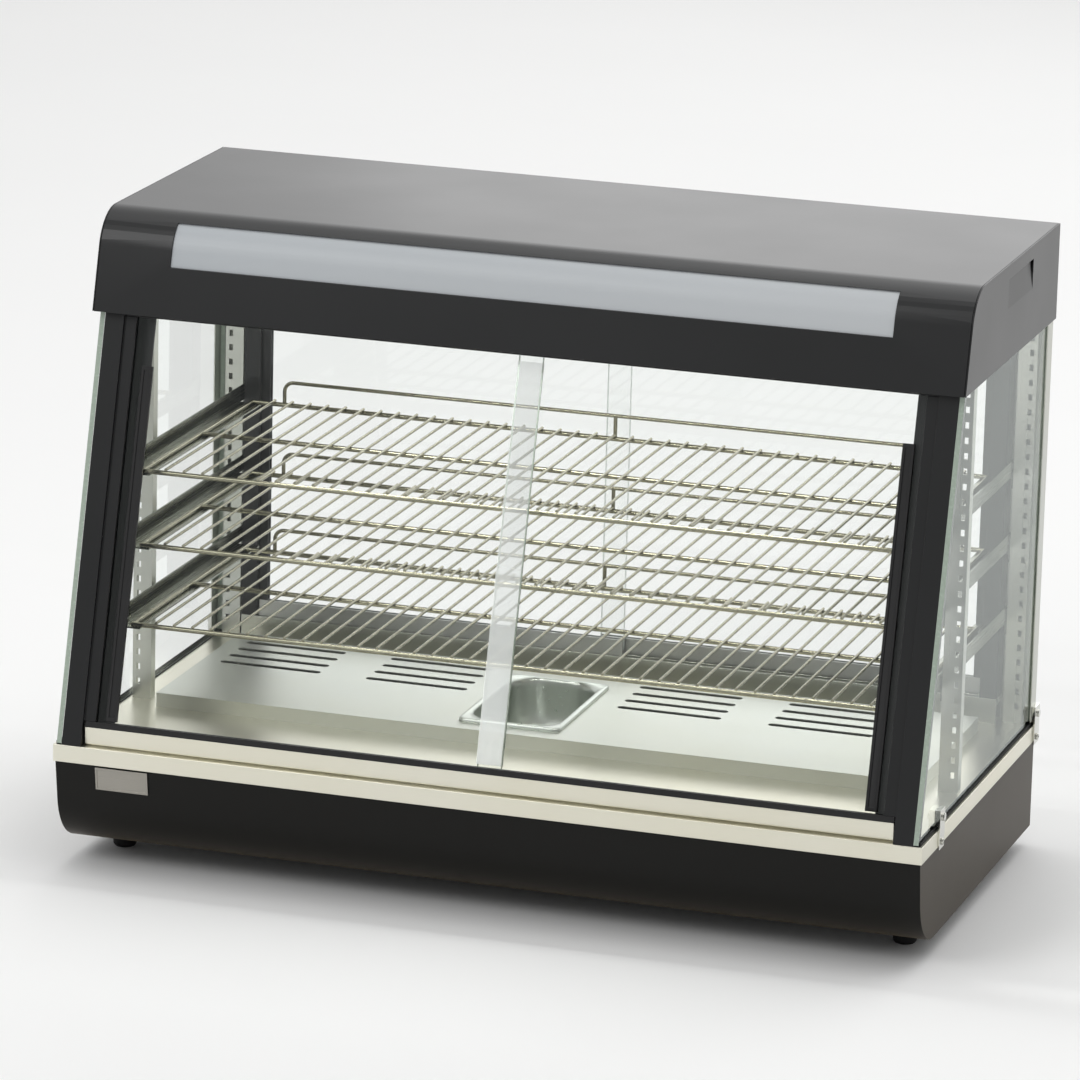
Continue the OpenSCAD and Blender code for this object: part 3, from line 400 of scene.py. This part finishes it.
def islands(node):
    """Lowest and highest corner of each separate solid of a CAD node."""
    work = bmesh.new()
    work.from_mesh(frame["nodes"][node].data)
    bmesh.ops.remove_doubles(work, verts=work.verts, dist=WELD)
    boxes, seen = [], set()
    for start in work.verts:
        if start.index in seen:
            continue
        stack, points = [start], []
        seen.add(start.index)
        while stack:
            vert = stack.pop()
            points.append(vert.co.copy())
            for edge in vert.link_edges:
                other = edge.other_vert(vert)
                if other.index not in seen:
                    seen.add(other.index)
                    stack.append(other)
        boxes.append((Vector(map(min, zip(*points))), Vector(map(max, zip(*points)))))
    work.free()
    return boxes


def loft(rings, closed_start=True, closed_end=True):
    """Mesh data between rings that all have the same number of points."""
    count = len(rings[0])
    verts = [point for ring in rings for point in ring]
    faces = []
    for row in range(len(rings) - 1):
        for i in range(count):
            j = (i + 1) % count
            a, b = row * count, (row + 1) * count
            faces.append((a + i, a + j, b + j, b + i))
    if closed_start:
        faces.append(tuple(range(count))[::-1])
    if closed_end:
        faces.append(tuple((len(rings) - 1) * count + i for i in range(count)))
    return verts, faces


def mesh_of(name, verts, faces):
    """A new mesh from vertices and faces."""
    mesh = bpy.data.meshes.new(name)
    mesh.from_pydata([tuple(v) for v in verts], [], faces)
    mesh.update()
    return mesh


def joined(parts):
    """One list of verts and faces from several."""
    verts, faces = [], []
    for more_verts, more_faces in parts:
        start = len(verts)
        verts += list(more_verts)
        faces += [tuple(start + i for i in face) for face in more_faces]
    return verts, faces


def turned(profile, centre, axis, steps=28):
    """Solid of revolution: profile holds (distance along axis, radius) pairs."""
    side = axis.orthogonal().normalized()
    other = axis.cross(side)
    rings = []
    for along, radius in profile:
        turns = [math.tau * i / steps for i in range(steps)]
        rings.append([centre + axis * along + (side * math.cos(t) + other * math.sin(t)) * radius
                      for t in turns])
    return loft(rings)


def brick(low, high):
    """Verts and faces of a box between two corners."""
    xs, ys, zs = zip(low, high)
    bottom = [Vector((xs[i], ys[j], zs[0])) for i, j in ((0, 0), (1, 0), (1, 1), (0, 1))]
    top = [Vector((v.x, v.y, zs[1])) for v in bottom]
    return loft([bottom, top])


deck_low, deck_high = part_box("deck")


def on_front(x, inward, up):
    """Point in the leaning front plane, from its foot at the middle of the rim's front edge."""
    return Vector((x, deck_low.y + inward * math.cos(FRONT_LEAN) + up * math.sin(FRONT_LEAN),
                   deck_high.z - inward * math.sin(FRONT_LEAN) + up * math.cos(FRONT_LEAN)))


# ---- Sheet metal, trim and glass with finished edges ----

for side in ("left", "right"):
    pane("front_glass_" + side, green_edge)
    pane("side_glass_" + side, green_edge)
    pane("rear_glass_" + side, pale_edge)

# width of the bevel of each node's edges, in millimetres
EDGES = {
    "deck": 1.2, "base_housing": 0.7, "hood_shell": 0.5, "hood_end_cap_left": 0.6,
    "hood_end_cap_right": 0.6, "front_post_left": 0.8, "front_post_right": 0.8,
    "front_door_rail": 0.6, "front_lower_track": 0.3, "front_upper_track": 0.4,
    "front_pull_left": 0.4, "front_pull_right": 0.4, "heater_cover": 0.7,
    "glass_clips": 0.5, "rear_jambs": 0.5, "rear_door_rail": 0.6, "rear_upper_track": 0.4,
    "rear_frame_left": 0.5, "rear_frame_right": 0.5, "rear_post_left": 0.4,
    "rear_post_right": 0.4, "rubber_feet": 0.8, "side_gaskets": 0.3, "hood_back_panel": 0.3,
    "base_back_panel": 0.3, "thermostat_knob": 0.6, "switch_housings": 0.5,
    "power_rocker": 0.4, "light_rocker": 0.4, "pilot_lamps": 0.4, "cable_gland": 0.4,
    "name_plate": 0.3, "shelf_clips": 0.3, "rails_top": 0.3, "rails_middle": 0.3,
    "rails_bottom": 0.3, "light_diffuser": 0.4, "lamp_holders": 0.5,
}
finished = {node: softened(node, width * MM) for node, width in EDGES.items()}
for side in ("left", "right"):
    black_upright(finished["rear_frame_" + side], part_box("rear_door_rail")[1].z + REAR_PROFILE)


# ---- Water pan, pressed with a rolled rim ----

def rounded_ring(centre, width, length, radius, z, steps=10):
    """Points round a rectangle with rounded corners."""
    points = []
    for quarter in range(4):
        sx, sy = ((1, 1), (-1, 1), (-1, -1), (1, -1))[quarter]
        cx, cy = centre[0] + sx * (width / 2 - radius), centre[1] + sy * (length / 2 - radius)
        for i in range(steps + 1):
            turn = math.pi / 2 * (quarter + i / steps)
            points.append(Vector((cx + radius * math.cos(turn), cy + radius * math.sin(turn), z)))
    return points


def pressed_pan():
    """The water pan as thin pressed sheet, in place of the CAD pan."""
    low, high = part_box("water_pan")
    centre, size = (low + high) / 2, high - low
    # millimetres: inset from the outer rim, corner radius, depth below the top of the rim
    profile = [(0, 8, 4), (0, 8, 2), (0.5, 8, 0.8), (1.6, 8.5, 0.1), (3.2, 10, 0), (5, 20, 0.3),
               (6.2, 33, 1.4), (6.8, 34, 3.5), (7.2, 34, 8), (8.2, 34, 22), (9.6, 34, 36),
               (12, 33, 46), (16.5, 31, 53), (23, 27, 56.6), (31, 20, 58), (40, 12, 58.4)]
    rings = [rounded_ring(centre, size.x - 2 * inset * MM, size.y - 2 * inset * MM,
                          radius * MM, high.z - depth * MM) for inset, radius, depth in profile]
    verts, faces = loft(rings, closed_start=False)
    mesh = mesh_of("water_pan_pressed", verts, faces)
    mesh.shade_smooth()
    pan = add_piece("water_pan_pressed", mesh, "pan", "stainless", pressed_steel)
    wall = pan.modifiers.new("wall", "SOLIDIFY")
    wall.thickness = 0.9 * MM
    wall.offset = -1
    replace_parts(pan, "water_pan")


pressed_pan()


# ---- Screws with a cross recess ----

# millimetres: height above the seat and radius there
SCREW_HEAD = ((0, 3.4), (0.6, 3.6), (1.4, 3.35), (2.0, 2.6), (2.35, 1.3), (2.4, 0.5))


def cross_screw():
    """Pan head at the origin facing +Z, with its recess cut in."""
    profile = [(height * MM, radius * MM) for height, radius in SCREW_HEAD]
    head = mesh_of("screw_head", *turned(profile, Vector(), Z))
    reach, half, floor, above = 2 * MM, 0.45 * MM, 1.2 * MM, 4 * MM
    arms = joined([brick((-reach, -half, floor), (reach, half, above)),
                   brick((-half, -reach, floor), (half, reach, above))])
    cutter = bpy.data.objects.new("recess", mesh_of("recess", *arms))
    blank = bpy.data.objects.new("blank", head)
    for item in (cutter, blank):
        bpy.context.scene.collection.objects.link(item)
    cut = blank.modifiers.new("cut", "BOOLEAN")
    cut.object = cutter
    cut.solver = "EXACT"
    cut.use_self = True
    bpy.context.view_layer.update()
    slotted = blank.evaluated_get(bpy.context.evaluated_depsgraph_get())
    result = bpy.data.meshes.new_from_object(slotted)
    verts = [v.co.copy() for v in result.vertices]
    faces = [tuple(face.vertices) for face in result.polygons]
    for item in (cutter, blank):
        bpy.data.objects.remove(item)
    return verts, faces


def screws():
    """A cross-recess head over each pan-head screw of the CAD, each turned its own way."""
    verts, faces = cross_screw()
    turn_between = 0.7  # radians from one recess to the next
    heads = []
    for number, (low, high) in enumerate(islands("pan_head_screws")):
        size, middle = high - low, (low + high) / 2
        faces_sideways = size.x < size.y / 2
        if faces_sideways:
            axis = X if middle.x > 0 else -X
            seat = Vector((low.x if middle.x > 0 else high.x, middle.y, middle.z))
        else:
            axis = Y
            seat = Vector((middle.x, high.y - SCREW_HEAD[-1][0] * MM, middle.z))
        spin = Matrix.Rotation(turn_between * number, 3, "Z")
        turn = axis.to_track_quat("Z", "Y").to_matrix() @ spin
        heads.append(([seat + turn @ v for v in verts], faces))
    mesh = mesh_of("cross_screws", *joined(heads))
    smooth_by_angle(mesh, degrees=40)
    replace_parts(add_piece("cross_screws", mesh, "case", "zinc_screw", FINISH["zinc_screw"]),
                "pan_head_screws")


screws()


# ---- Seal between the front doors ----

def door_seal():
    """Soft clear strip with a dark bead on the back of the outer pane, over the gap behind it."""
    pane_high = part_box("front_glass_left")[1]
    track_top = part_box("front_lower_track")[1].z
    above_track, below_top, overlap = 4 * MM, 12 * MM, 10 * MM
    start = (track_top - deck_high.z) / math.cos(FRONT_LEAN) + above_track
    end = (pane_high.z - deck_high.z) / math.cos(FRONT_LEAN) - below_top
    back, thick, bead = 12.0 * MM, 0.9 * MM, 1.5 * MM

    def strip(name, x0, x1, slot, material):
        """A flat length of plastic between x0 and x1, as tall as start to end."""
        corners = ((x0, back), (x1, back), (x1, back + thick), (x0, back + thick))
        rings = [[on_front(x, inward, up) for x, inward in corners] for up in (start, end)]
        add_piece(name, mesh_of(name, *loft(rings)), "front_door_left", slot, material)

    strip("door_seal", -overlap, pane_high.x - bead, "clear_glass",
          milky_strip_with_painted_glow("milky_strip_with_painted_glow", deck_high.z, pane_high.z))
    strip("door_seal_bead", pane_high.x - bead, pane_high.x, "rubber", FINISH["rubber"])


door_seal()


# ---- Thermostat scale and switch marks ----

def ticks():
    """Printed scale round the thermostat knob: short and long strokes on the back panel."""
    low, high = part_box("thermostat_knob")
    middle = (low + high) / 2
    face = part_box("base_back_panel")[1].y
    count, long_every = 11, 5
    first, step = 225, 27  # degrees, anticlockwise from the right as seen from behind
    start, short, long = 20.5 * MM, 3 * MM, 5 * MM
    half, thick = 0.4 * MM, 0.15 * MM
    centre = Vector((middle.x, face, middle.z))
    strokes = []
    for i in range(count):
        turn = math.radians(first - step * i)
        reach = long if i % long_every == 0 else short
        out = Vector((-math.cos(turn), 0, math.sin(turn)))
        side = Vector((out.z, 0, -out.x)) * half
        inner, outer = centre + out * start, centre + out * (start + reach)
        ring = [inner - side, inner + side, outer + side, outer - side]
        strokes.append(loft([ring, [p + Y * thick for p in ring]]))
    mesh = mesh_of("thermostat_scale", *joined(strokes))
    add_piece("thermostat_scale", mesh, "case", "white_paint", FINISH["white_paint"])


ticks()


def knob_pointer(piece):
    """Paints a white line on the face of the grip, towards the low end of the scale."""
    low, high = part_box("thermostat_knob")
    out = (X - Z).normalized()
    side = (X + Z).normalized()
    centre = Vector(((low.x + high.x) / 2, high.y, (low.z + high.z) / 2))
    near, far, half = 3.5 * MM, 10.5 * MM, 0.7 * MM
    skin = 0.01 * MM  # a face whose middle is this close to the front belongs to the flat face
    cuts = ((centre + out * near, out), (centre + out * far, out),
            (centre + side * half, side), (centre - side * half, side))
    piece.data.materials.append(FINISH["white_paint"])
    work = bmesh.new()
    work.from_mesh(piece.data)
    for point, normal in cuts:
        flat = [face for face in work.faces if face.calc_center_median().y > high.y - skin]
        geometry = flat + list({edge for face in flat for edge in face.edges})
        geometry += list({vert for face in flat for vert in face.verts})
        bmesh.ops.bisect_plane(work, geom=geometry, plane_co=point, plane_no=normal)
    for face in work.faces:
        offset = face.calc_center_median() - centre
        painted = (offset.y > -skin and near < offset.dot(out) < far
                   and abs(offset.dot(side)) < half)
        face.material_index = 1 if painted else 0
    work.to_mesh(piece.data)
    work.free()
    smooth_by_angle(piece.data)


def rocker_marks(node, body):
    """A moulded bar and ring on the upper and lower half of a rocker, for on and off."""
    low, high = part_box(node)
    middle_z = (low.z + high.z) / 2
    outward = 0.9  # least y of the normal of a face that is pressed
    faces = [face for face in frame["nodes"][node].data.polygons if face.normal.y > outward]
    halves = []
    for upper in (True, False):
        own = [face for face in faces if (face.center.z > middle_z) == upper]
        area = sum(face.area for face in own)
        centre = sum((face.center * face.area for face in own), Vector()) / area
        normal = sum((face.normal * face.area for face in own), Vector()).normalized()
        halves.append((centre, normal, normal.cross(X).normalized()))
    (centre, normal, up), (low_centre, low_normal, low_up) = halves
    lift = 0.12 * MM
    half_x, half_up = 0.35 * MM, 1.7 * MM
    bar = [centre + X * a + up * b for a, b in ((-half_x, -half_up), (half_x, -half_up),
                                                (half_x, half_up), (-half_x, half_up))]
    parts = [loft([[p - normal * lift for p in bar], [p + normal * lift for p in bar]])]
    inner, outer, steps = 1.2 * MM, 1.8 * MM, 20
    rings = []
    for radius, height in ((inner, -lift), (outer, -lift), (outer, lift), (inner, lift)):
        turns = [math.tau * i / steps for i in range(steps)]
        rings.append([low_centre + low_normal * height
                      + (X * math.cos(turn) + low_up * math.sin(turn)) * radius for turn in turns])
    parts.append(loft(rings + rings[:1], closed_start=False, closed_end=False))
    name = node + "_marks"
    add_piece(name, mesh_of(name, *joined(parts)), body, "white_paint", FINISH["white_paint"])


knob_pointer(finished["thermostat_knob"])
rocker_marks("power_rocker", "power_switch")
rocker_marks("light_rocker", "light_switch")


# ---- Remaining CAD nodes keep their shape ----

for node, item in frame["nodes"].items():
    item.data.materials.clear()
    item.data.materials.append(node_finish(node))
    if not item.hide_render:
        smooth_by_angle(item.data)


# ---- Studio ----

def pale_floor():
    """Matt off-white ground that reaches far past the case."""
    side, front, rear = 30, -30, 40
    corners = [(-side, front, 0), (side, front, 0), (side, rear, 0), (-side, rear, 0)]
    mesh = mesh_of("floor", corners, [(0, 1, 2, 3)])
    floor = bpy.data.objects.new("floor", mesh)
    bpy.context.scene.collection.objects.link(floor)
    graph = Graph("pale_floor")
    cloud = graph.noise(graph.place(), scale=2)
    mesh.materials.append(graph.principled(
        Base_Color=graph.blend(cloud, (0.90, 0.90, 0.895, 1), (0.92, 0.92, 0.915, 1)),
        Roughness=0.9, Specular_IOR_Level=0.1))


def softbox(name, place, target, width, height, watts):
    """Rectangular light at place that shines towards target."""
    data = bpy.data.lights.new(name, "AREA")
    data.shape = "RECTANGLE"
    data.size = width
    data.size_y = height
    data.energy = watts
    lamp = bpy.data.objects.new(name, data)
    bpy.context.scene.collection.objects.link(lamp)
    lamp.location = place
    lamp.rotation_mode = "QUATERNION"
    lamp.rotation_quaternion = (Vector(target) - Vector(place)).to_track_quat("-Z", "Y")


def case_lamp():
    """Light that the case's tube sheds through the slot in its ceiling."""
    low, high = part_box("lamp_tube")
    drop, end_margin, slot_width, watts = 2 * MM, 0.08, 0.024, 1.8
    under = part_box("ceiling_panel")[0].z - drop
    across = (low.y + high.y) / 2
    length = high.x - low.x - end_margin
    softbox("case_lamp", (0, across, under), (0, across, 0), length, slot_width, watts)
    bpy.data.objects["case_lamp"].visible_camera = False


def world_light():
    """Soft white surround, brighter behind the case and dimmer to its right."""
    world = bpy.data.worlds.new("surround")
    bpy.context.scene.world = world
    world.use_nodes = True
    tree = world.node_tree
    tree.nodes.clear()
    direction = tree.nodes.new("ShaderNodeTexCoord")
    split = tree.nodes.new("ShaderNodeSeparateXYZ")
    both = tree.nodes.new("ShaderNodeMath")
    both.operation = "MULTIPLY"
    sky = tree.nodes.new("ShaderNodeBackground")
    out = tree.nodes.new("ShaderNodeOutputWorld")
    tree.links.new(direction.outputs["Generated"], split.inputs[0])
    # axis of the direction, where along it the change starts and ends, strength at each
    changes = ((1, -0.6, 0.8, 0.55, 1.35), (0, 0.2, 1.0, 1.0, 0.62))
    for factor, (axis, start, end, strength_start, strength_end) in enumerate(changes):
        ramp = tree.nodes.new("ShaderNodeMapRange")
        ramp.inputs["From Min"].default_value = start
        ramp.inputs["From Max"].default_value = end
        ramp.inputs["To Min"].default_value = strength_start
        ramp.inputs["To Max"].default_value = strength_end
        tree.links.new(split.outputs[axis], ramp.inputs["Value"])
        tree.links.new(ramp.outputs[0], both.inputs[factor])
    tree.links.new(both.outputs[0], sky.inputs["Strength"])
    tree.links.new(sky.outputs[0], out.inputs[0])


def camera():
    """Long lens from the front right, above the case."""
    data = bpy.data.cameras.new("camera")
    data.lens = 220.91
    data.sensor_width = 36
    data.clip_start = 0.1
    data.clip_end = 200
    eye = bpy.data.objects.new("camera", data)
    bpy.context.scene.collection.objects.link(eye)
    place = Vector((1.932674, -6.152442, 2.059619))
    yaw, pitch, roll = -0.30730, 0.26200, 0.02560
    level = Vector((math.sin(yaw), math.cos(yaw), 0))
    ahead = level * math.cos(pitch) - Z * math.sin(pitch)
    right = ahead.cross(Z).normalized()
    up = right.cross(ahead)
    across = right * math.cos(roll) + up * math.sin(roll)
    upward = up * math.cos(roll) - right * math.sin(roll)
    turn = Matrix((across, upward, -ahead)).transposed().to_4x4()
    eye.matrix_world = Matrix.Translation(place) @ turn
    bpy.context.scene.camera = eye


pale_floor()
softbox("key", (-2.2, -3.4, 3.6), (0, 0, 0.3), 2.4, 2.4, 50)
softbox("top", (0.4, 0.8, 4.2), (0, 0, 0.3), 4.0, 4.0, 50)
softbox("rear", (0.8, 4.6, 2.6), (0, 0, 0.5), 6.0, 2.6, 40)
case_lamp()
world_light()
camera()
bpy.context.scene.view_settings.view_transform = "Standard"
bpy.context.scene.view_settings.look = "None"
